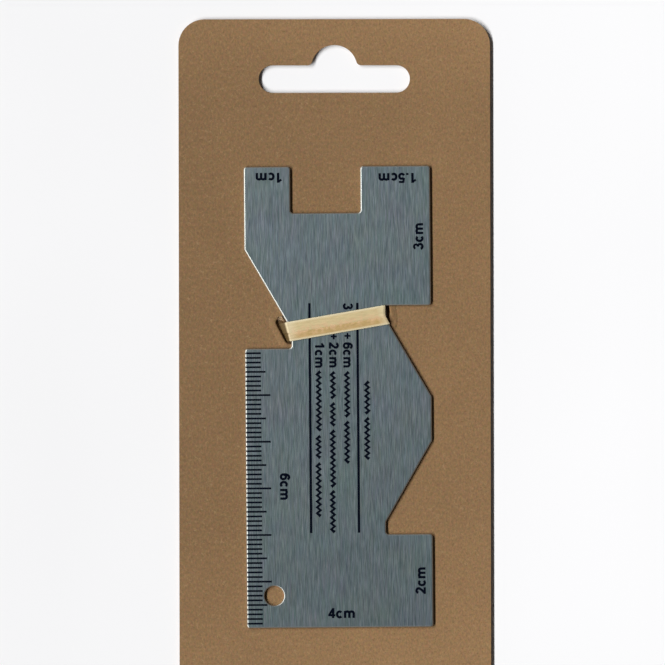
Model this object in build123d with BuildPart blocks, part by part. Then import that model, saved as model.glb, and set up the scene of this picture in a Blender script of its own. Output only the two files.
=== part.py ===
# Sewing gauge: a stamped aluminium gauge plate held on its hang card by a flat rubber band.
# It lies face up, as on a table: +X to the right, +Y towards the hang slot, +Z out of the card's face.
# Lengths are in millimetres and angles in degrees.
from build123d import *
import os
from math import cos, radians, sin, tan

os.makedirs("parts", exist_ok=True)

# Hang card, a sheet of kraft board. Its middle is the origin in X and Y.
card_width = 66.85
card_length = 150.0
card_thickness = 0.45
card_corner_radius = 5.6

# Hang slot: a long slot with a round hump over its middle, punched near the card's upper end.
hang_slot_length = 32.45
hang_slot_height = 5.9
hang_slot_depth = 12.85  # from the card's upper end to the middle of the slot
hang_hump_radius = 4.95
hang_hump_drop = 0.6  # from the slot's upper side down to the middle of the hump
hang_hump_flare = 1.0

# Gauge plate. Each working side is named after the length that it measures.
plate_width = 40.0  # the 4 cm end
plate_thickness = 0.8
rule_side = 60.0  # the 6 cm side, which carries the rule
waist_length = 9.0  # between the square sides of the two upper notches
upper_block_side = 30.0  # the 3 cm side
lower_block_side = 20.0  # the 2 cm side
narrow_prong = 10.0  # the 1 cm end
wide_prong = 15.0  # the 1.5 cm end
notch_depth = 10.0
side_step = 10.0  # how far the side notches reach in
side_slant = 30.0  # angle of the notches' sloping sides from the plate's length
left_notch_land = 3.9  # straight stretch between a notch's square side and its slope
upper_right_notch_land = 2.2
lower_right_notch_land = 2.6
corner_radius = 0.6
face_edge_radius = 0.35  # the rolled edge that stamping leaves on the face
back_edge_radius = 0.2

# Threading hole through the plate's lower left corner.
hole_diameter = 4.2
hole_edge_radius = 0.25
hole_from_side = 5.9
hole_from_end = 6.95

# Where the plate lies on the card: its lower left corner, and its small turn to the left.
plate_from_card_centre = -18.95
plate_from_card_end = 19.32
plate_turn = 0.33

# Printed rule: one mark for each millimetre along the 6 cm side, longer at each five and ten.
ink_thickness = 0.05
mark_step = 1.0
mark_width = 0.38
mark_length = 3.4
mark_length_five = 4.4
mark_length_ten = 5.4

# Printed guide lines along the plate's middle.
guide_width = 0.5
left_guide_place = 13.92  # from the plate's left side
right_guide_place = 24.19
guide_end = 20.35  # from the plate's lower end
guide_length = 49.3

# Rubber band: one flat loop round the plate's waist and through two slits in the card.
band_width = 4.2
band_thickness = 0.4
band_tilt = 9.45  # from the plate's width
band_rise = 0.82  # from the middle of the waist to the middle of the band
band_clearance = 0.1  # round the plate and over the print
band_bend_radius = 0.4  # outside the loop's corners
band_crease_width = 0.5
band_crease_depth = 0.1
band_crease_share = 0.6  # of the band's width, from its upper edge

# Slits in the card for the band's two legs. The left one leans, and is pulled further out.
slit_width = 2.6
left_slit_side_room = 1.45  # outside the leg, at the band's middle
left_slit_end_room = 1.2  # past the band's edges
left_slit_shift = 0.45  # of the slit's middle, across the band
left_slit_lean = 18.0  # from the direction across the band
right_slit_side_room = 0.4
right_slit_end_room = 0.8
right_slit_shift = 0.1
right_slit_lean = 3.0

overrun = 1.0  # how far cuts run past the faces that they cut

# The plate's waist, where the band goes round it.
waist_low = rule_side
waist_high = waist_low + waist_length
waist_half = plate_width / 2 - side_step
plate_length = waist_high + upper_block_side

# Heights from the surface that the card lies on, where the back of the band touches down.
card_bottom = band_thickness
card_top = card_bottom + card_thickness
plate_top = card_top + plate_thickness
ink_top = plate_top + ink_thickness
band_inner_top = ink_top + band_clearance
band_top = band_inner_top + band_thickness

# The plate's own plane: X along its lower end, Y along its rule side.
plate_origin = Vector(plate_from_card_centre, plate_from_card_end - card_length / 2, 0)
plate_x = Vector(cos(radians(plate_turn)), sin(radians(plate_turn)), 0)


def plate_plane(height):
    """The plate's plane at a height, with its origin at the plate's lower left corner."""
    return Plane(origin=plate_origin + Vector(0, 0, height), x_dir=plate_x, z_dir=(0, 0, 1))


# The band's own frame: X along the band from left to right, Z up, and its origin at the middle of the band.
band_mid = Vector(plate_width / 2, (waist_low + waist_high) / 2 + band_rise, 0)
band_origin = plate_plane(0).from_local_coords(band_mid)
band_angle = radians(band_tilt + plate_turn)
band_x = Vector(cos(band_angle), sin(band_angle), 0)
band_y = Vector(-sin(band_angle), cos(band_angle), 0)
band_inner_half = (
    waist_half / cos(radians(band_tilt)) + band_width / 2 * tan(radians(band_tilt)) + band_clearance
)
band_outer_half = band_inner_half + band_thickness


def make_plate_outline():
    """The plate's sharp outline as a flat face, counterclockwise from the lower left corner."""
    slope_rise = side_step / tan(radians(side_slant))
    waist_left = side_step
    waist_right = plate_width - side_step
    bump_low = lower_block_side + lower_right_notch_land + slope_rise
    bump_high = waist_high - upper_right_notch_land - slope_rise
    notch_floor = plate_length - notch_depth
    slope_start = waist_low + left_notch_land
    with BuildSketch() as outline:
        with BuildLine():
            Polyline(
                (0, 0),
                (plate_width, 0),
                (plate_width, lower_block_side),
                (waist_right, lower_block_side),
                (waist_right, lower_block_side + lower_right_notch_land),
                (plate_width, bump_low),
                (plate_width, bump_high),
                (waist_right, waist_high - upper_right_notch_land),
                (waist_right, waist_high),
                (plate_width, waist_high),
                (plate_width, plate_length),
                (plate_width - wide_prong, plate_length),
                (plate_width - wide_prong, notch_floor),
                (narrow_prong, notch_floor),
                (narrow_prong, plate_length),
                (0, plate_length),
                (0, slope_start + slope_rise),
                (waist_left, slope_start),
                (waist_left, waist_low),
                (0, waist_low),
                close=True,
            )
        make_face()
    return outline.sketch


def make_gauge_plate():
    """The stamped plate with rounded corners, softened edges and a drilled threading hole."""
    with BuildPart() as gauge_plate:
        with BuildSketch(plate_plane(card_top)) as outline:
            add(make_plate_outline())
            fillet(outline.vertices(), corner_radius)
        extrude(amount=plate_thickness)
        faces = gauge_plate.faces().sort_by(Axis.Z)
        fillet(faces[-1].edges(), face_edge_radius)
        fillet(faces[0].edges(), back_edge_radius)
        with BuildSketch(plate_plane(card_top - overrun)):
            with Locations((hole_from_side, hole_from_end)):
                Circle(hole_diameter / 2)
        extrude(amount=plate_thickness + 2 * overrun, mode=Mode.SUBTRACT)
        face = gauge_plate.faces().sort_by(Axis.Z)[-1]
        fillet(face.inner_wires().edges(), hole_edge_radius)
    return gauge_plate.part


def make_rule_marks():
    """The printed millimetre marks, from the softened edge inwards."""
    start = face_edge_radius
    count = round(rule_side / mark_step) - 1
    with BuildPart() as rule_marks:
        with BuildSketch(plate_plane(plate_top)):
            for number in range(1, count + 1):
                length = mark_length
                if number % 5 == 0:
                    length = mark_length_five
                if number % 10 == 0:
                    length = mark_length_ten
                with Locations((start, number * mark_step)):
                    Rectangle(length - start, mark_width, align=(Align.MIN, Align.CENTER))
        extrude(amount=ink_thickness)
    return rule_marks.part


def make_guide_lines():
    """The two printed lines along the plate."""
    with BuildPart() as guide_lines:
        with BuildSketch(plate_plane(plate_top)):
            for place in (left_guide_place, right_guide_place):
                with Locations((place, guide_end)):
                    Rectangle(guide_width, guide_length, align=(Align.CENTER, Align.MIN))
        extrude(amount=ink_thickness)
    return guide_lines.part


def draw_slit(side, side_room, end_room, shift, lean):
    """Draws one leg's slit in the open sketch; side is -1 on the left and 1 on the right."""
    slit_length = band_width + 2 * end_room
    outer_side = band_outer_half + side_room + shift * tan(radians(lean))
    middle_x = side * (outer_side - slit_width / 2 / cos(radians(lean)))
    middle = band_origin + band_x * middle_x + band_y * shift
    turn = band_tilt + plate_turn + 90 - side * lean
    with Locations((middle.X, middle.Y)):
        SlotOverall(slit_length, slit_width, rotation=turn)


def make_hang_card():
    """The card with its hang slot and the two slits that the band goes through."""
    slot_y = card_length / 2 - hang_slot_depth
    hump_y = slot_y + hang_slot_height / 2 - hang_hump_drop
    with BuildPart() as hang_card:
        with BuildSketch(Plane.XY.offset(card_bottom)):
            RectangleRounded(card_width, card_length, card_corner_radius)
        extrude(amount=card_thickness)
        with BuildSketch(Plane.XY.offset(card_bottom - overrun)) as hang_slot:
            with Locations((0, slot_y)):
                SlotOverall(hang_slot_length, hang_slot_height)
            with Locations((0, hump_y)):
                Circle(hang_hump_radius)
            slot_edge = hang_slot.vertices().filter_by_position(
                Axis.Y, slot_y, slot_y + hang_slot_height, inclusive=(False, True)
            )
            base_corners = slot_edge.sort_by_distance((0, hump_y, 0))[:2]
            fillet(base_corners, hang_hump_flare)
        extrude(amount=card_thickness + 2 * overrun, mode=Mode.SUBTRACT)
        with BuildSketch(Plane.XY.offset(card_bottom - overrun)):
            draw_slit(-1, left_slit_side_room, left_slit_end_room, left_slit_shift, left_slit_lean)
            draw_slit(1, right_slit_side_room, right_slit_end_room, right_slit_shift, right_slit_lean)
        extrude(amount=card_thickness + 2 * overrun, mode=Mode.SUBTRACT)
    return hang_card.part


def make_rubber_band():
    """The band's loop, cut back where the plate's edges press into it, with its lengthwise crease."""
    edge = band_origin - band_y * (band_width / 2)
    inner_radius = band_bend_radius / 2
    crease_y = band_width / 2 - band_crease_share * band_width
    with BuildPart() as rubber_band:
        with BuildSketch(Plane(origin=edge, x_dir=band_x, z_dir=-band_y)):
            with Locations((0, band_top / 2)):
                RectangleRounded(2 * band_outer_half, band_top, band_bend_radius)
            with Locations((0, (card_bottom + band_inner_top) / 2)):
                RectangleRounded(
                    2 * band_inner_half, band_inner_top - card_bottom, inner_radius, mode=Mode.SUBTRACT
                )
        extrude(amount=-band_width)
        with BuildSketch(plate_plane(card_top)):
            add(make_plate_outline())
            offset(amount=band_clearance)
        extrude(amount=plate_thickness + band_clearance, mode=Mode.SUBTRACT)
        crease_plane = Plane(origin=band_origin + band_y * crease_y, x_dir=band_y, z_dir=band_x)
        with BuildSketch(crease_plane.offset(-band_outer_half - overrun)):
            with Locations((0, band_top)):
                Rectangle(band_crease_width, 2 * band_crease_depth)
        extrude(amount=2 * (band_outer_half + overrun), mode=Mode.SUBTRACT)
    return rubber_band.part


hang_card = make_hang_card()
gauge_plate = make_gauge_plate()
rule_marks = make_rule_marks()
guide_lines = make_guide_lines()
rubber_band = make_rubber_band()

hang_card.label = "hang_card"
gauge_plate.label = "gauge_plate"
rule_marks.label = "rule_marks"
guide_lines.label = "guide_lines"
rubber_band.label = "rubber_band"

export_step(hang_card, "parts/hang_card.step")
export_step(gauge_plate, "parts/gauge_plate.step")
export_step(rule_marks, "parts/rule_marks.step")
export_step(guide_lines, "parts/guide_lines.step")
export_step(rubber_band, "parts/rubber_band.step")
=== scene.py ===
# Look of a sewing gauge on its hang card: a brushed plate with a printed rule, a kraft card, a rubber band.
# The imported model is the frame. Lengths are in millimetres here and become metres when an object is made.
# +X is to the right, +Y towards the hang slot and +Z out of the card's face.
from math import atan, atan2, cos, hypot, pi, radians, sin

import bpy
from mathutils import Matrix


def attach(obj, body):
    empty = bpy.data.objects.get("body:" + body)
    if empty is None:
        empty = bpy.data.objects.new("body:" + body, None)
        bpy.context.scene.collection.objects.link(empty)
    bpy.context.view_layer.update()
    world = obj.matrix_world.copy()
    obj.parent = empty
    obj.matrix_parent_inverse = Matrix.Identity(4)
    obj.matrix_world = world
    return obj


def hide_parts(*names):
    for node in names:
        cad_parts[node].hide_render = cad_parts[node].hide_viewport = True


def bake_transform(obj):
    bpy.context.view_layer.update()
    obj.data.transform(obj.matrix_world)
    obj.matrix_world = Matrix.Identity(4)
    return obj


MM = 0.001

# How the photograph maps to the card: its scale on the plate's face, and the small turn of the card.
PHOTO_SIZE = 665
PIXELS_PER_MM = 4.6625
CARD_TURN = radians(0.11)
CARD_TOP_PIXEL = (334.13, 18.95)  # the middle of the card's upper end
CARD_HALF_LENGTH = 75.0

# The plate's own plane: its lower left corner and its turn on the card.
PLATE_CORNER = (-18.95, -55.68)
PLATE_TURN = radians(0.33)
PLATE_LENGTH = 99.0
RULE_SIDE = 60.0
ROLLED_EDGE = 0.35  # how wide the plate's rounded edge is
MARK_WIDTH = 0.38

# Heights above the surface that the card lies on.
CARD_BOTTOM = 0.4
CARD_TOP = 0.85
PLATE_TOP = 1.65
INK_TOP = 1.7

# The rubber band: its middle in the plate's plane, and its turn from the plate.
BAND_MIDDLE = (20.0, 65.32)
BAND_TILT = radians(9.45)
BAND_WIDTH = 4.2
HALF_BAND = BAND_WIDTH / 2
BAND_THICKNESS = 0.4
BAND_REST = INK_TOP + 0.06  # underside of its front run

# The card's slits in the band's own frame: middle along and across, overall length, and lean from across.
SLIT_WIDTH = 2.6
LEFT_SLIT = (-11.22, 0.45, 6.6, radians(18))
RIGHT_SLIT = (10.1, 0.1, 5.8, radians(3))


def linear(red, green, blue):
    """A colour measured in the photograph, 0 to 255, as the linear colour that shaders take."""
    def channel(value):
        share = value / 255
        return share / 12.92 if share <= 0.04045 else ((share + 0.055) / 1.055) ** 2.4
    return channel(red), channel(green), channel(blue), 1.0


def row_from_pixel(px, py):
    """The place on the card that a pixel of the photograph shows."""
    right = px - CARD_TOP_PIXEL[0]
    down = py - CARD_TOP_PIXEL[1]
    x = (right * cos(CARD_TURN) - down * sin(CARD_TURN)) / PIXELS_PER_MM
    y = CARD_HALF_LENGTH - (right * sin(CARD_TURN) + down * cos(CARD_TURN)) / PIXELS_PER_MM
    return x, y


def row_from_plate(x, y):
    """The place on the card of a place on the plate."""
    return (
        PLATE_CORNER[0] + x * cos(PLATE_TURN) - y * sin(PLATE_TURN),
        PLATE_CORNER[1] + x * sin(PLATE_TURN) + y * cos(PLATE_TURN),
    )


def row_from_band(along, across):
    """The place on the card of a place on the band: along it to the right, across it towards the slot."""
    return row_from_plate(
        BAND_MIDDLE[0] + along * cos(BAND_TILT) - across * sin(BAND_TILT),
        BAND_MIDDLE[1] + along * sin(BAND_TILT) + across * cos(BAND_TILT),
    )


def between(value, low, high, at_low, at_high):
    """Goes from at_low to at_high as value goes from low to high, and stays level outside."""
    share = min(1, max(0, (value - low) / (high - low)))
    return at_low + (at_high - at_low) * share


# Camera, light and floor.

CAMERA_DISTANCE = 1600.0
SENSOR = 36.0  # the camera's own width of film


def make_camera():
    """The camera looks straight down, with a lens long enough to show no perspective."""
    middle = row_from_pixel(PHOTO_SIZE / 2, PHOTO_SIZE / 2)
    camera = bpy.data.objects.new("camera", bpy.data.cameras.new("camera"))
    bpy.context.scene.collection.objects.link(camera)
    camera.location = (middle[0] * MM, middle[1] * MM, (CAMERA_DISTANCE + PLATE_TOP) * MM)
    camera.rotation_euler = (0, 0, -CARD_TURN)
    camera.data.sensor_width = SENSOR
    camera.data.lens = SENSOR * CAMERA_DISTANCE * PIXELS_PER_MM / PHOTO_SIZE
    camera.data.clip_start = 0.01
    camera.data.clip_end = 30.0
    bpy.context.scene.camera = camera


# The lamp is a long strip at the left, like a scanner's: sharp to the right, soft up and down the card.
# All its sizes are in metres.
KEY_HEIGHT = radians(49)  # above the horizon
KEY_DISTANCE = 4.0
KEY_WIDTH = 0.45
KEY_LENGTH = 6.0
KEY_SHARE = 0.98  # of the light on a level surface; the surroundings give the rest
OVERHEAD = 0.03
HORIZON = 0.6
HORIZON_HEIGHTS = (5, 13)  # in degrees, where the surroundings go from pale to dim
SHINE = 0.27  # what metal mirrors between the horizon and overhead
SHINE_OVERHEAD = 0.07
SHINE_HEIGHTS = (58, 80)  # in degrees, where that goes from SHINE to SHINE_OVERHEAD


def make_lights():
    """A strip lamp, and surroundings that are dim overhead and pale near the horizon."""
    area = bpy.data.lights.new("key", "AREA")
    area.shape = "RECTANGLE"
    area.size = KEY_WIDTH
    area.size_y = KEY_LENGTH
    half = KEY_LENGTH / 2
    near, far = KEY_DISTANCE, KEY_DISTANCE ** 2 + half ** 2
    spread = half / (near ** 2 * far) + atan(half / near) / near ** 3
    area.energy = KEY_SHARE * pi * pi * 2 * half / (near ** 2 * sin(KEY_HEIGHT) * spread)
    key = bpy.data.objects.new("key", area)
    bpy.context.scene.collection.objects.link(key)
    key.location = (-KEY_DISTANCE * cos(KEY_HEIGHT), 0, KEY_DISTANCE * sin(KEY_HEIGHT))
    key.rotation_euler = (0, KEY_HEIGHT - pi / 2, 0)

    world = bpy.data.worlds.new("surroundings")
    world.use_nodes = True
    bpy.context.scene.world = world
    tree = world.node_tree
    background = tree.nodes["Background"]
    background.inputs["Color"].default_value = (1, 1, 1, 1)
    coordinates = tree.nodes.new("ShaderNodeTexCoord")
    axes = tree.nodes.new("ShaderNodeSeparateXYZ")
    tree.links.new(coordinates.outputs["Generated"], axes.inputs[0])

    def by_height(low, high, at_low, at_high):
        """A strength that goes from at_low to at_high between two heights above the horizon, in degrees."""
        node = tree.nodes.new("ShaderNodeMapRange")
        node.interpolation_type = "SMOOTHSTEP"
        names = ("From Min", "From Max", "To Min", "To Max")
        for name, value in zip(names, (sin(radians(low)), sin(radians(high)), at_low, at_high)):
            node.inputs[name].default_value = value
        tree.links.new(axes.outputs["Z"], node.inputs["Value"])
        return node.outputs["Result"]

    path = tree.nodes.new("ShaderNodeLightPath")
    shine = tree.nodes.new("ShaderNodeMath")
    shine.operation = "MULTIPLY"
    tree.links.new(path.outputs["Is Glossy Ray"], shine.inputs[0])
    tree.links.new(by_height(*SHINE_HEIGHTS, SHINE, SHINE_OVERHEAD), shine.inputs[1])
    strength = tree.nodes.new("ShaderNodeMath")
    strength.operation = "MAXIMUM"
    tree.links.new(by_height(*HORIZON_HEIGHTS, HORIZON, OVERHEAD), strength.inputs[0])
    tree.links.new(shine.outputs[0], strength.inputs[1])
    tree.links.new(strength.outputs[0], background.inputs["Strength"])


class Shader:
    """One material's nodes. Each call adds a node and gives the output that the next calls take."""

    def __init__(self, name):
        self.material = bpy.data.materials.new(name)
        self.material.use_nodes = True
        self.tree = self.material.node_tree
        self.surface = self.tree.nodes["Principled BSDF"]
        self.geometry = self.tree.nodes.new("ShaderNodeNewGeometry")
        self.place = self.tree.nodes.new("ShaderNodeTexCoord").outputs["Object"]

    def put(self, socket, value):
        """Links an output into a socket, or sets the socket to a plain value."""
        if isinstance(value, bpy.types.NodeSocket):
            self.tree.links.new(value, socket)
        elif socket.type == "VECTOR":
            socket.default_value = value[:3]
        else:
            socket.default_value = value

    def set(self, name, value):
        self.put(self.surface.inputs[name], value)

    def frame(self, corner=(0, 0), turn=0.0, stretch=(1, 1, 1)):
        """Coordinates in millimetres from a corner, turned, and stretched along each direction."""
        x = -(corner[0] * cos(turn) + corner[1] * sin(turn))
        y = corner[0] * sin(turn) - corner[1] * cos(turn)
        node = self.tree.nodes.new("ShaderNodeMapping")
        self.put(node.inputs["Vector"], self.place)
        node.inputs["Scale"].default_value = (1000, 1000, 1000)
        node.inputs["Rotation"].default_value = (0, 0, -turn)
        node.inputs["Location"].default_value = (x, y, 0)
        scaled = self.tree.nodes.new("ShaderNodeVectorMath")
        scaled.operation = "MULTIPLY"
        self.put(scaled.inputs[0], node.outputs["Vector"])
        scaled.inputs[1].default_value = stretch
        return scaled.outputs["Vector"]

    def axes(self, vector):
        node = self.tree.nodes.new("ShaderNodeSeparateXYZ")
        self.put(node.inputs[0], vector)
        return node.outputs["X"], node.outputs["Y"], node.outputs["Z"]

    def noise(self, vector, scale=1.0, detail=2.0, roughness=0.5):
        """Noise from 0 to 1, with its three-coloured form as the second output."""
        node = self.tree.nodes.new("ShaderNodeTexNoise")
        self.put(node.inputs["Vector"], vector)
        node.inputs["Scale"].default_value = scale
        node.inputs["Detail"].default_value = detail
        node.inputs["Roughness"].default_value = roughness
        return node.outputs["Fac"], node.outputs["Color"]

    def math(self, operation, first, second=0.0):
        node = self.tree.nodes.new("ShaderNodeMath")
        node.operation = operation
        self.put(node.inputs[0], first)
        self.put(node.inputs[1], second)
        return node.outputs[0]

    def ramp(self, value, low, high, at_low=0.0, at_high=1.0):
        """Goes from at_low to at_high as value goes from low to high, and stays level outside."""
        node = self.tree.nodes.new("ShaderNodeMapRange")
        names = ("Value", "From Min", "From Max", "To Min", "To Max")
        for name, item in zip(names, (value, low, high, at_low, at_high)):
            self.put(node.inputs[name], item)
        return node.outputs["Result"]

    def mix(self, share, first, second, blend="MIX"):
        node = self.tree.nodes.new("ShaderNodeMix")
        node.data_type = "RGBA"
        node.blend_type = blend
        for place, value in ((0, share), (6, first), (7, second)):
            self.put(node.inputs[place], value)
        return node.outputs[2]

    def brighten(self, colour, amount):
        """The colour times an amount that differs from place to place."""
        node = self.tree.nodes.new("ShaderNodeVectorMath")
        node.operation = "SCALE"
        self.put(node.inputs[0], colour)
        self.put(node.inputs["Scale"], amount)
        return node.outputs["Vector"]

    def bump(self, height, distance, strength=1.0):
        """Fine relief; distance is its depth in millimetres."""
        node = self.tree.nodes.new("ShaderNodeBump")
        self.put(node.inputs["Height"], height)
        node.inputs["Distance"].default_value = distance * MM
        node.inputs["Strength"].default_value = strength
        self.set("Normal", node.outputs["Normal"])


KRAFT = linear(138, 108, 75)
KRAFT_FIBRE = linear(170, 141, 104)
KRAFT_FLECK = linear(100, 72, 43)
KRAFT_TORN = linear(196, 168, 134)
PLATE = (0.325, 0.407, 0.434, 1)
# Rolled edges: their own paler, rougher metal, with painted highlight where they face left and painted shade
# where they face the ends and the right.
PLATE_LIT_EDGE = (0.47, 0.44, 0.385, 1)
PLATE_SHADED_EDGE = (0.29, 0.27, 0.24, 1)  # rolled edges at the plate's ends and along its right
INK = linear(2, 6, 20)
BAND_PALE = linear(201, 183, 137)
BAND_SHADE_BELOW_CREASE = linear(182, 153, 100)
BAND_RIM_HIGHLIGHT = linear(224, 210, 174)
BAND_FLUSH = linear(214, 176, 136)
BAND_SHADE = linear(80, 60, 26)

BRUSHING = (4.8, 0.2, 1)  # brushed lines to the millimetre, across and along the plate
FINE_BRUSHING = (9, 0.32, 1)


def make_kraft(name, base):
    """Uncoated kraft board: mottled brown pulp with fine paler fibres and darker flecks."""
    board = Shader(name)
    place = board.frame()
    pulp, tint = board.noise(board.frame(stretch=(2.4, 1.5, 2.4)), 1, 4, 0.7)
    broad, _ = board.noise(place, 0.07, 2)
    colour = board.brighten(base, board.ramp(pulp, 0.25, 0.75, 0.75, 1.25))
    colour = board.brighten(colour, board.ramp(broad, 0.3, 0.7, 0.96, 1.04))
    x, y, _ = board.axes(place)
    colour = board.brighten(colour, board.ramp(x, -34, 34, 0.84, 1.0))
    colour = board.brighten(colour, board.ramp(y, -62, -34, 1.17, 1.0))
    colour = board.brighten(colour, board.ramp(y, 57, 73, 1.0, 1.18))
    colour = board.mix(0.3, colour, tint, "SOFT_LIGHT")
    for turn, scale in ((0.0, 0.9), (1.1, 0.7), (2.3, 1.2)):
        line, _ = board.noise(board.frame((3.1, 7.7), turn, (1.6, 0.6, 1.0)), scale, 1)
        mask, _ = board.noise(place, 0.9 + scale * 0.3, 0)
        near = board.ramp(board.math("ABSOLUTE", board.math("SUBTRACT", line, 0.5)), 0.004, 0.02, 1, 0)
        here = board.math("MULTIPLY", near, board.ramp(mask, 0.5, 0.62))
        colour = board.mix(board.math("MULTIPLY", here, 0.35), colour, KRAFT_FIBRE)
    fleck, _ = board.noise(place, 3.1, 0)
    colour = board.mix(board.ramp(fleck, 0.7, 0.8, 0, 0.4), colour, KRAFT_FLECK)
    board.set("Base Color", colour)
    board.set("Roughness", board.ramp(pulp, 0.3, 0.7, 0.78, 0.92))
    board.set("Specular IOR Level", 0.2)
    board.bump(pulp, 0.02, 0.6)
    return board.material


def make_plate():
    """Aluminium brushed along its length, with rolled edges of paler, rougher metal that carry painted
    highlight along the left and painted shade at the ends and along the right.

    The rule's marks run on over the left edge, where the printed solids stop.
    """
    plate = Shader("brushed_plate_look")
    place = plate.frame(PLATE_CORNER, PLATE_TURN)
    x, y, _ = plate.axes(place)
    lines, line_tint = plate.noise(plate.frame(PLATE_CORNER, PLATE_TURN, BRUSHING), 1, 2, 0.6)
    fine_lines, fine_tint = plate.noise(plate.frame(PLATE_CORNER, PLATE_TURN, FINE_BRUSHING), 1, 2, 0.6)
    _, cloud_tint = plate.noise(place, 0.12, 2)
    colour = plate.brighten(PLATE, plate.ramp(lines, 0.25, 0.75, 0.95, 1.05))
    colour = plate.brighten(colour, plate.ramp(fine_lines, 0.25, 0.75, 0.84, 1.16))
    colour = plate.mix(0.25, colour, line_tint, "SOFT_LIGHT")
    colour = plate.mix(0.2, colour, fine_tint, "SOFT_LIGHT")
    colour = plate.mix(0.12, colour, cloud_tint, "SOFT_LIGHT")
    colour = plate.brighten(colour, plate.ramp(y, 0, PLATE_LENGTH, 0.87, 1.11))

    # The edge colour follows the normal's direction: painted highlight on left-facing rolled edges, painted
    # shade on the others.
    sideways, _, level = plate.axes(plate.geometry.outputs["Normal"])
    rolled = plate.ramp(level, 0.99, 0.93)
    edge = plate.mix(plate.ramp(sideways, -0.25, -0.05), PLATE_LIT_EDGE, PLATE_SHADED_EDGE)
    colour = plate.mix(rolled, colour, edge)
    past_half = plate.math("FRACT", plate.math("ADD", y, 0.5))
    from_mark = plate.math("ABSOLUTE", plate.math("SUBTRACT", past_half, 0.5))
    inked = plate.ramp(from_mark, MARK_WIDTH / 2 - 0.03, MARK_WIDTH / 2 + 0.03, 1, 0)
    limits = (
        plate.ramp(y, 0.5, 0.51),
        plate.ramp(y, RULE_SIDE - 0.51, RULE_SIDE - 0.5, 1, 0),
        plate.ramp(x, 0.08, 0.14),
        plate.ramp(x, ROLLED_EDGE, ROLLED_EDGE + 0.02, 1, 0),
    )
    for limit in limits:
        inked = plate.math("MULTIPLY", inked, limit)
    plate.set("Base Color", plate.mix(inked, colour, INK))
    plate.set("Metallic", plate.math("SUBTRACT", 1.0, inked))
    rough = plate.ramp(fine_lines, 0.3, 0.7, 0.32, 0.4)
    plate.set("Roughness", plate.math("MAXIMUM", rough, plate.ramp(rolled, 0, 1, 0.3, 0.55)))
    plate.bump(plate.math("ADD", lines, fine_lines), 0.004, 0.5)
    return plate.material


def make_ink():
    """Screen-printed ink, nearly black, with the slight unevenness of a thin film."""
    ink = Shader("printing_ink_look")
    film, _ = ink.noise(ink.frame(), 2.5, 3)
    ink.set("Base Color", ink.brighten(INK, ink.ramp(film, 0.3, 0.7, 0.7, 1.4)))
    ink.set("Roughness", ink.ramp(film, 0.3, 0.7, 0.55, 0.7))
    ink.set("Specular IOR Level", 0.03)
    ink.bump(film, 0.005, 0.4)
    return ink.material


def make_latex():
    """Flat latex: waxy, pale and streaked along its length, with painted shade below the crease and down the
    legs, and painted highlight along its rims and towards its ends.
    """
    latex = Shader("latex_look")
    corner = row_from_plate(*BAND_MIDDLE)
    turn = PLATE_TURN + BAND_TILT
    along, across, height = latex.axes(latex.frame(corner, turn))
    streaks, _ = latex.noise(latex.frame(corner, turn, (0.45, 3.5, 1)), 1, 3, 0.6)
    mottle, _ = latex.noise(latex.frame(corner, turn), 1.3, 3)
    # Painted shade on the band's face below the crease.
    below = latex.ramp(across, CREASE_ACROSS - 0.1, CREASE_ACROSS + 0.15, 1, 0)
    colour = latex.mix(below, BAND_PALE, BAND_SHADE_BELOW_CREASE)
    near_crease = latex.ramp(latex.math("ABSOLUTE", latex.math("ADD", across, 0.3)), 0.2, 1.3, 0.75, 0.15)
    flush = latex.math("MULTIPLY", latex.ramp(mottle, 0.4, 0.6), near_crease)
    colour = latex.mix(flush, colour, BAND_FLUSH)
    # Painted highlight along both rims of the band.
    edge = latex.ramp(latex.math("ABSOLUTE", across), HALF_BAND - 0.55, HALF_BAND - 0.15, 0, 0.9)
    colour = latex.mix(edge, colour, BAND_RIM_HIGHLIGHT)
    # Paler towards both ends, where the latex stretches over the plate's edges, and painted highlight where
    # it bends there.
    stretched = latex.ramp(latex.math("ABSOLUTE", along), 8.6, 10.2, 0, 0.5)
    colour = latex.mix(stretched, colour, BAND_RIM_HIGHLIGHT)
    colour = latex.brighten(colour, latex.ramp(streaks, 0.25, 0.75, 0.88, 1.12))
    # Painted shade down the legs: darker by height below the front run, beyond the plate's edges.
    leg_shade = latex.ramp(height, BAND_REST + 0.34, BAND_REST, 0, 0.95)
    leg_shade = latex.math("MULTIPLY", leg_shade, latex.ramp(latex.math("ABSOLUTE", along), 10.2, 10.7))
    colour = latex.mix(leg_shade, colour, BAND_SHADE)
    latex.set("Base Color", colour)
    latex.set("Roughness", latex.ramp(streaks, 0.3, 0.7, 0.42, 0.58))
    latex.set("Specular IOR Level", 0.35)
    latex.bump(streaks, 0.03, 0.5)
    return latex.material


def make_floor():
    """A plain pale surface to lie on, with painted shade that darkens it a little towards the left."""
    floor = Shader("floor_look")
    x, _, _ = floor.axes(floor.frame())
    soft, _ = floor.noise(floor.frame(), 0.012, 2)
    shade = floor.math("ADD", floor.ramp(x, -60, 60, 0.885, 0.985), floor.ramp(soft, 0.3, 0.7, -0.01, 0.01))
    floor.set("Base Color", floor.brighten(linear(254, 254, 255), shade))
    floor.set("Roughness", 0.9)
    floor.set("Specular IOR Level", 0.05)
    reach = 6000
    corners = [(-reach, -reach, 0), (reach, -reach, 0), (reach, reach, 0), (-reach, reach, 0)]
    plane = add_mesh("floor", corners, [(0, 1, 2, 3)], floor.material, smooth=False)


def add_mesh(name, points, faces, material, smooth=True):
    """A mesh object from points in millimetres."""
    mesh = bpy.data.meshes.new(name)
    mesh.from_pydata([tuple(v * MM for v in point) for point in points], [], faces)
    mesh.validate()
    mesh.materials.append(material)
    for face in mesh.polygons:
        face.use_smooth = smooth
    piece = bpy.data.objects.new(name, mesh)
    bpy.context.scene.collection.objects.link(piece)
    return piece


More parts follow.
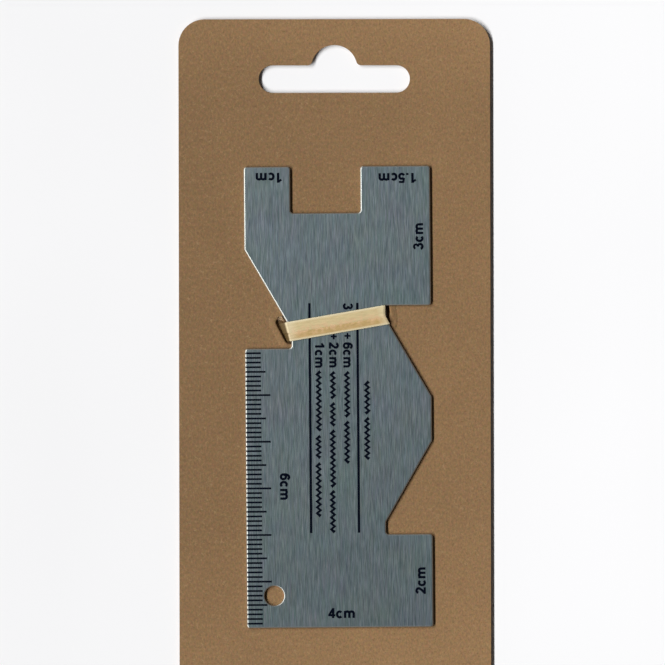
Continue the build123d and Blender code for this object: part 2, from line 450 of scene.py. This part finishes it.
# The rubber band. Places along it and across it are in its own frame, from its middle.
CREASE_ACROSS = -0.42
CREASE_HALF_WIDTH = 0.28
CREASE_DEPTH = 0.13
CREASE_STEP = 0.05  # how much lower the face lies below the crease
BEND_GAP = 0.1  # between the band's inner side and the centre of a bend
LEFT_LEAN = (0.6, 1.35)  # how far the left leg leans out, at the band's lower and upper side
RIGHT_TUCK = 0.08  # how far the right leg sits in from the plate's edge
RUN_STEPS = 60
CROSS_STEPS = 28
BEND_STEPS = 7
THIN_LEG = 0.5  # the right leg's thickness, as a share of the band's
LEFT_KINK = (0.35, 0.3)  # where the left leg bends: the share of its lean there, and height over the card
LEFT_ENTRY = (0.05, 0.1)  # where it enters the slit: inwards from its foot, and depth under the card's face


def left_edge(across):
    """Where the plate's left edge lies under the band."""
    return between(across, -HALF_BAND, HALF_BAND, -10.44, -10.74)


def right_edge(across):
    """Where the plate's right edge lies under the band: the waist's side, and a slope below it."""
    if across > 0:
        return between(across, 0, HALF_BAND, 10.16, 10.5)
    return between(across, -HALF_BAND, -0.3, 10.83, 10.2)


def arc(centre, radius, start, end):
    """Points of a bend in the plane of the band's length and height."""
    angles = [start + (end - start) * i / BEND_STEPS for i in range(BEND_STEPS + 1)]
    return [(centre[0] + radius * cos(a), centre[1] + radius * sin(a)) for a in angles]


def loop_line(across):
    """The band's middle line round plate and card at one place across it, with its thickness as a share."""
    half = BAND_THICKNESS / 2
    thin = half * THIN_LEG
    left = left_edge(across)
    right = right_edge(across) - RIGHT_TUCK
    top = BAND_REST + half
    radius = half + BEND_GAP
    lean = between(across, -HALF_BAND, HALF_BAND, *LEFT_LEAN)
    foot = left - half - lean
    leg_turn = atan2(lean, PLATE_TOP - CARD_TOP)
    low_right = right + thin + BEND_GAP
    line = [(right - (right - left) * i / RUN_STEPS, top, 1) for i in range(RUN_STEPS + 1)]
    line += [(*p, 1) for p in arc((left, top - radius), radius, pi / 2, pi - leg_turn)[1:]]
    line.append((foot + lean * LEFT_KINK[0], CARD_TOP + LEFT_KINK[1], 1))
    line.append((foot + LEFT_ENTRY[0], CARD_TOP - LEFT_ENTRY[1], 1))
    line.append((foot, CARD_BOTTOM, 1))
    line += [(*p, 1) for p in arc((foot + half, half + half), half, pi, 3 * pi / 2)]
    start, end = foot + half, low_right - half
    line += [(start + (end - start) * i / RUN_STEPS, half, 1) for i in range(1, RUN_STEPS)]
    line += [(*p, THIN_LEG) for p in arc((low_right - half, half + half), half, -pi / 2, 0)]
    line += [(low_right, CARD_TOP, THIN_LEG), (low_right, top - radius - 0.1, THIN_LEG)]
    line += [(*p, THIN_LEG) for p in arc((low_right - thin, top - thin), thin, 0, pi / 2)]
    return line


def band_profile():
    """The band's cross section, as pairs of a place across it and a share of its half thickness."""
    half = BAND_THICKNESS / 2
    flat = HALF_BAND - half
    upper = [(-flat + 2 * flat * i / CROSS_STEPS, 1) for i in range(CROSS_STEPS + 1)]
    right_rim = [(flat + half * cos(pi / 2 - pi * i / 8), sin(pi / 2 - pi * i / 8)) for i in range(1, 8)]
    lower = [(-across, -1) for across, _ in upper]
    left_rim = [(-across, -out) for across, out in right_rim]
    return upper + right_rim + lower + left_rim


def merge_points(points, faces):
    """The same surface with coinciding points made one, without the faces that this leaves with no area."""
    keys = [tuple(round(v, 5) for v in point) for point in points]
    first = {}
    for i, key in enumerate(keys):
        first.setdefault(key, i)
    number = {i: n for n, i in enumerate(first.values())}
    faces = [list(dict.fromkeys(number[first[keys[i]]] for i in face)) for face in faces]
    return [points[i] for i in number], [face for face in faces if len(face) > 2]


def make_band():
    """The rubber band as one closed loop, with rounded rims and a crease along its face.

    The inner side of its tightest bends closes to a line, where points coincide.
    """
    points = []
    profile = band_profile()
    for across, side in profile:
        line = loop_line(across)
        dent = 0
        if side > 0:
            dent = CREASE_DEPTH * max(0, 1 - abs(across - CREASE_ACROSS) / CREASE_HALF_WIDTH) ** 1.5
            dent += CREASE_STEP if across < CREASE_ACROSS else 0
        for i, (along, height, share) in enumerate(line):
            before, after = line[i - 1], line[(i + 1) % len(line)]
            step = (after[0] - before[0], after[1] - before[1])
            length = hypot(*step)
            push = (side * BAND_THICKNESS / 2 - dent) * share
            place = row_from_band(along + step[1] / length * push, across)
            points.append((*place, height - step[0] / length * push))
    count = len(points) // len(profile)
    faces = []
    for r in range(len(profile)):
        for c in range(count):
            below = ((r + 1) % len(profile)) * count
            beside = (c + 1) % count
            faces.append((r * count + c, below + c, below + beside, r * count + beside))
    band = add_mesh("latex_band", *merge_points(points, faces), latex)
    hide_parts("rubber_band")
    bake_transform(band)


# The card's torn and swollen board round the band's slits.
SLIT_END_TURN = 70  # how many degrees of a slit's round end carry a lip
SLIT_END_STEPS = 8
SLIT_SIDE_STEPS = 40


def slit_path(slit, side):
    """Points along a slit's outer edge in the band's frame, each with the outward direction there."""
    middle_along, middle_across, length, lean = slit
    radius = SLIT_WIDTH / 2
    straight = (length - SLIT_WIDTH) / 2
    end = []
    for i in range(SLIT_END_STEPS + 1):
        angle = radians(SLIT_END_TURN - SLIT_END_TURN * i / SLIT_END_STEPS)
        end.append((radius * cos(angle), straight + radius * sin(angle), cos(angle), sin(angle)))
    step = 2 * straight / SLIT_SIDE_STEPS
    path = end + [(radius, straight - step * i, 1, 0) for i in range(1, SLIT_SIDE_STEPS)]
    path += [(x, -y, nx, -ny) for x, y, nx, ny in reversed(end)]
    turned = []
    for x, y, nx, ny in path:
        x, nx = side * x, side * nx
        turn = -side * lean
        turned.append((
            middle_along + x * cos(turn) - y * sin(turn),
            middle_across + x * sin(turn) + y * cos(turn),
            nx * cos(turn) - ny * sin(turn),
            nx * sin(turn) + ny * cos(turn),
        ))
    return turned


# The raised lip along a slit: offsets out of the slit, and heights over the card's face. Its first two
# points lie inside the card.
LIP_OUT = (1.55, 1.5, 1.0, 0.6, 0.25, 0.05)
LIP_RISE = (-0.06, -0.02, 0.04, 0.13, 0.2, 0.16)
LIP_ROOT = 0.02  # how deep the lip's two ends lie in the card
LIP_ROLL = 0.07  # height of the roll over the slit's edge, from the root
LIP_SHEET = 0.03  # thickness of the lip's mesh
TONGUE_END = 0.06  # height of the tongue's lower end
BESIDE_LEG = 2.04  # from the band's middle line to where the left tongue passes the leg


def make_lip(name, slit, side, overhang, reach):
    """The board's edge along a slit: swollen outside, rolled over, and pushed into the slit as a tongue."""
    points = []
    path = slit_path(slit, side)
    for i, (along, across, out_along, out_across) in enumerate(path):
        fade = min(1, max(0, min(i, len(path) - 1 - i) - 1) / 3)
        over, tongue = overhang(across), reach(across)
        root = CARD_TOP - LIP_ROOT
        section = [(out, root + (rise + LIP_ROOT) * fade) for out, rise in zip(LIP_OUT, LIP_RISE)]
        section += [
            (-over * 0.7, root + LIP_ROLL * fade),
            (-over, CARD_TOP - 0.12),
            (-over - 0.02, CARD_BOTTOM + 0.05),
            (-over - tongue * 0.5, CARD_BOTTOM - 0.18),
            (-over - tongue, TONGUE_END),
        ]
        for out, height in section:
            if out > 0:
                points.append((*row_from_band(along + out_along * out, across + out_across * out), height))
            else:
                points.append((*row_from_band(along + side * out, across), height))
    count = len(points) // len(path)
    faces = []
    for r in range(len(path) - 1):
        for c in range(count - 1):
            faces.append((r * count + c, r * count + c + 1, (r + 1) * count + c + 1, (r + 1) * count + c))
    lip = add_mesh(name, points, faces, kraft)
    beside = [key for face in lip.data.polygons for key in face.edge_keys]
    for edge in lip.data.edges:
        edge.use_edge_sharp = beside.count(edge.key) == 1
    thick = lip.modifiers.new("thick", "SOLIDIFY")
    thick.thickness = LIP_SHEET * MM
    thick.offset = 0
    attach(lip, "card")


def left_overhang(across):
    """How far the left lip hangs over its slit; more above the band."""
    return between(across, 2.2, 3.2, 0.05, 0.3)


def left_reach(across):
    """How far the left tongue reaches into its slit: up to the band's leg, and under the plate beside it."""
    if abs(across) < BESIDE_LEG:
        return between(across, -HALF_BAND, HALF_BAND, 0.4, 0.68)
    return between(abs(across), BESIDE_LEG, HALF_BAND, 0.3, 2.7)


def right_overhang(across):
    """How far the right lip hangs over its slit; more at the band's lower half."""
    return between(across, -0.5, 0.3, 0.5, 0.02)


def right_reach(across):
    """How far the right tongue reaches into its slit."""
    return between(abs(across), 2.12, 2.2, 0.75 - right_overhang(across), 1.3)


# Torn board fibres at the left slit's upper end: places in the photograph, from the card's edge inwards.
TORN_FIBRES = (
    ((277.6, 318.8), (281.4, 317.6), (284.2, 320.0)),
    ((277.8, 320.0), (281.6, 319.4), (284.8, 321.4)),
    ((278.6, 317.6), (281.0, 316.6), (283.0, 317.8)),
)
FIBRE_HALF_WIDTHS = (0.22, 0.2, 0.03)
FIBRE_RISES = (0.0, 0.12, 0.02)  # over the card's face
FIBRE_HALF_THICKNESS = 0.1


def make_fibres():
    """Pale torn fibres that stand out of the card beside the left leg.

    The end face at a fibre's root looks inwards, which shades the fibre there as in the photograph.
    """
    points = []
    faces = []
    for fibre in TORN_FIBRES:
        first = len(points)
        for i, (px, py) in enumerate(fibre):
            x, y = row_from_pixel(px, py)
            width, thick = FIBRE_HALF_WIDTHS[i], FIBRE_HALF_THICKNESS
            for dy, dz in ((-width, 0), (0, thick), (width, 0), (0, -thick)):
                points.append((x, y + dy, CARD_TOP + FIBRE_RISES[i] + dz))
        for i in range(2):
            for k in range(4):
                a, b = first + 4 * i + k, first + 4 * i + (k + 1) % 4
                faces.append((a, a + 4, b + 4, b))
        for end in (first, first + 8):
            faces.append((end + 3, end + 2, end + 1, end))
    fibres = add_mesh("torn_fibres", points, faces, torn_kraft)
    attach(fibres, "card")


def curve(centre_x, centre_y, radius_x, radius_y, start, end, steps=12):
    """Points of a stretched arc, with its angles in degrees."""
    angles = [radians(start + (end - start) * i / steps) for i in range(steps + 1)]
    return [(centre_x + radius_x * cos(a), centre_y + radius_y * sin(a)) for a in angles]


# Bold sans characters: how wide each is, and its pen strokes, which are a pen width and points. All are
# shares of the type size.
STEM = 0.172
BAR = 0.15
GLYPHS = {
    "1": (0.556, [
        (STEM, [(0.325, 0), (0.325, 0.716)]),
        (BAR, [(0.08, 0.5), (0.2, 0.56), (0.31, 0.68)]),
    ]),
    "2": (0.556, [
        (STEM, curve(0.27, 0.5, 0.165, 0.155, 165, -25) + [(0.3, 0.27), (0.12, 0.09)]),
        (BAR, [(0.03, 0.06), (0.505, 0.06)]),
    ]),
    "3": (0.556, [
        (BAR, curve(0.262, 0.525, 0.155, 0.135, 165, -90)),
        (STEM, curve(0.265, 0.215, 0.175, 0.168, 95, -165)),
    ]),
    "4": (0.556, [
        (BAR, [(0.36, 0.66), (0.085, 0.22)]),
        (BAR, [(0.03, 0.205), (0.53, 0.205)]),
        (STEM, [(0.375, 0), (0.375, 0.716)]),
    ]),
    "5": (0.556, [
        (BAR, [(0.13, 0.645), (0.47, 0.645)]),
        (BAR, [(0.155, 0.69), (0.11, 0.34)]),
        (STEM, curve(0.27, 0.233, 0.175, 0.178, 140, -160)),
    ]),
    "6": (0.556, [
        (STEM, curve(0.285, 0.232, 0.175, 0.178, 0, 360, 20)),
        (STEM, curve(0.315, 0.335, 0.205, 0.315, 185, 40)),
    ]),
    "c": (0.556, [(STEM, curve(0.285, 0.26, 0.18, 0.21, 42, 318))]),
    "m": (0.889, [
        (STEM, [(0.132, 0), (0.132, 0.519)]),
        (STEM, curve(0.288, 0.33, 0.156, 0.135, 180, 0) + [(0.444, 0)]),
        (STEM, curve(0.601, 0.33, 0.157, 0.135, 180, 0) + [(0.758, 0)]),
    ]),
    "+": (0.584, [(BAR, [(0.04, 0.36), (0.545, 0.36)]), (BAR, [(0.292, 0.105), (0.292, 0.615)])]),
    ".": (0.278, [(STEM, [(0.139, 0), (0.139, 0.137)])]),
}

SIDE_TYPE = 2.95  # type size of the numbers at the working sides
ROW_TYPE = 2.8  # type size of the rows between the guide lines
PLUS_TYPE = 2.52

# Printed numbers: their characters, the pixel at their middle, their type size, and their turn in degrees.
NUMBERS = {
    "one_cm": ("1cm", (268.7, 177.7), SIDE_TYPE, 180),
    "one_and_a_half_cm": ("1.5cm", (397.3, 177.9), SIDE_TYPE, 180),
    "three_cm": ("3cm", (418.2, 236.5), SIDE_TYPE, 90),
    "two_cm": ("2cm", (420.6, 580.6), SIDE_TYPE, 90),
    "four_cm": ("4cm", (341.5, 613.3), SIDE_TYPE, 0),
    "six_cm": ("6cm", (285.0, 486.5), SIDE_TYPE, -90),
    "first_row_three": ("3", (347.8, 306.3), ROW_TYPE, -90),
    "first_row_plus": ("+", (347.4, 335.9), PLUS_TYPE, -90),
    "first_row_six": ("6cm", (347.8, 354.9), ROW_TYPE, -90),
    "second_row_plus": ("+", (333.6, 336.4), PLUS_TYPE, -90),
    "second_row_two": ("2cm", (333.8, 354.9), ROW_TYPE, -90),
    "third_row_one": ("1cm", (319.6, 355.3), ROW_TYPE, -90),
}

# Printed zigzag stitches: the pixel column of each row, and the first and last pixel row of its stretches.
STITCH_ROWS = {
    "first_row_stitches": (346.9, ((372.1, 416.6), (421.7, 462.8))),
    "second_row_stitches": (332.7, ((372.1, 398.2), (403.2, 425.5), (430.5, 486.7), (491.1, 532.2))),
    "third_row_stitches": (318.5, ((371.5, 430.5), (436.1, 457.8), (463.3, 516.1))),
    "heading_stitches": (367.0, ((381.6, 413.5), (418.0, 459.0))),
}
STITCH_STEP = 0.62  # along the row, from one turn of the zigzag to the next
STITCH_SWING = 0.38  # to each side
STITCH_WIDTH = 0.7  # across the row
PRINT_DEPTH = 0.04
STROKE_LIFT = 0.0005  # how much each stroke of a number lies over the one before


def stroke_sides(points, width):
    """The two long sides of a pen stroke."""
    left, right = [], []
    for i, (x, y) in enumerate(points):
        before, after = points[max(0, i - 1)], points[min(len(points) - 1, i + 1)]
        dx, dy = after[0] - before[0], after[1] - before[1]
        length = hypot(dx, dy) or 1
        nx, ny = -dy / length * width / 2, dx / length * width / 2
        left.append((x + nx, y + ny))
        right.append((x - nx, y - ny))
    return left, right


def add_stroke(points, faces, stroke, width, place, lift):
    """Adds a pen stroke as a thin raised strip; place gives the row place of a point of the stroke."""
    first = len(points)
    top = INK_TOP + lift
    for side in stroke_sides(stroke, width):
        for height in (top, top - PRINT_DEPTH - lift):
            points.extend((*place(*point), height) for point in side)
    n = len(stroke)
    for i in range(n - 1):
        a, b, c, d = (first + n * k + i for k in range(4))
        faces += [(c, c + 1, a + 1, a), (a, a + 1, b + 1, b), (d, d + 1, c + 1, c), (b, b + 1, d + 1, d)]
    for i, order in ((0, 1), (n - 1, -1)):
        a, b, c, d = (first + n * k + i for k in range(4))
        faces.append((a, b, d, c)[::order])


def finish_print(name, points, faces):
    """Makes one printed piece, which rides on the gauge."""
    piece = add_mesh(name, points, faces, ink, smooth=False)
    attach(piece, "gauge")


def make_number(name, characters, middle_pixel, size, turn):
    """A printed number, with its unit, round the place that a pixel shows."""
    strokes = []
    start = 0
    for character in characters:
        advance, pen = GLYPHS[character]
        strokes += [(width, [(x + start, y) for x, y in line]) for width, line in pen]
        start += advance
    corners = [p for width, line in strokes for side in stroke_sides(line, width) for p in side]
    middle_x = (min(p[0] for p in corners) + max(p[0] for p in corners)) / 2
    middle_y = (min(p[1] for p in corners) + max(p[1] for p in corners)) / 2
    centre = row_from_pixel(*middle_pixel)
    angle = radians(turn) + PLATE_TURN

    def place(x, y):
        x, y = (x - middle_x) * size, (y - middle_y) * size
        return centre[0] + x * cos(angle) - y * sin(angle), centre[1] + x * sin(angle) + y * cos(angle)

    points, faces = [], []
    for i, (width, line) in enumerate(strokes):
        add_stroke(points, faces, line, width, place, i * STROKE_LIFT)
    finish_print(name, points, faces)


def make_stitches(name, column, stretches):
    """A row of even zigzag stitches along the plate."""
    points, faces = [], []
    for first, last in stretches:
        x, high = row_from_pixel(column, first)
        _, low = row_from_pixel(column, last)
        count = round((high - low) / STITCH_STEP)
        step = (high - low) / count
        line = [(STITCH_SWING * (-1) ** i, -i * step) for i in range(count + 1)]

        def place(right, up):
            return x + right - up * sin(PLATE_TURN), high + up * cos(PLATE_TURN)

        add_stroke(points, faces, line, STITCH_WIDTH, place, 0)
    finish_print(name, points, faces)


def dress(node, material):
    """Gives a node of the frame its finished material."""
    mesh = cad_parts[node].data
    mesh.materials.clear()
    mesh.materials.append(material)


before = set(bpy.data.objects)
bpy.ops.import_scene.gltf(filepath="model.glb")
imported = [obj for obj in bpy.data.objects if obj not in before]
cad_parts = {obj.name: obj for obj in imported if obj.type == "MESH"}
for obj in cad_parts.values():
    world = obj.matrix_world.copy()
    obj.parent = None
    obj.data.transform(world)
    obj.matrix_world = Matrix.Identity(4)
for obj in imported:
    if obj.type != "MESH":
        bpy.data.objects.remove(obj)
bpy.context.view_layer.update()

kraft = make_kraft("kraft_board_look", KRAFT)
torn_kraft = make_kraft("torn_kraft_look", KRAFT_TORN)
brushed = make_plate()
ink = make_ink()
latex = make_latex()

make_camera()
make_lights()
make_floor()
dress("hang_card", kraft)
dress("gauge_plate", brushed)
dress("rule_marks", ink)
dress("guide_lines", ink)
make_band()
make_lip("left_lip", LEFT_SLIT, -1, left_overhang, left_reach)
make_lip("right_lip", RIGHT_SLIT, 1, right_overhang, right_reach)
make_fibres()
for name, number in NUMBERS.items():
    make_number(name, *number)
for name, row in STITCH_ROWS.items():
    make_stitches(name, *row)

bpy.context.scene.view_settings.view_transform = "Standard"
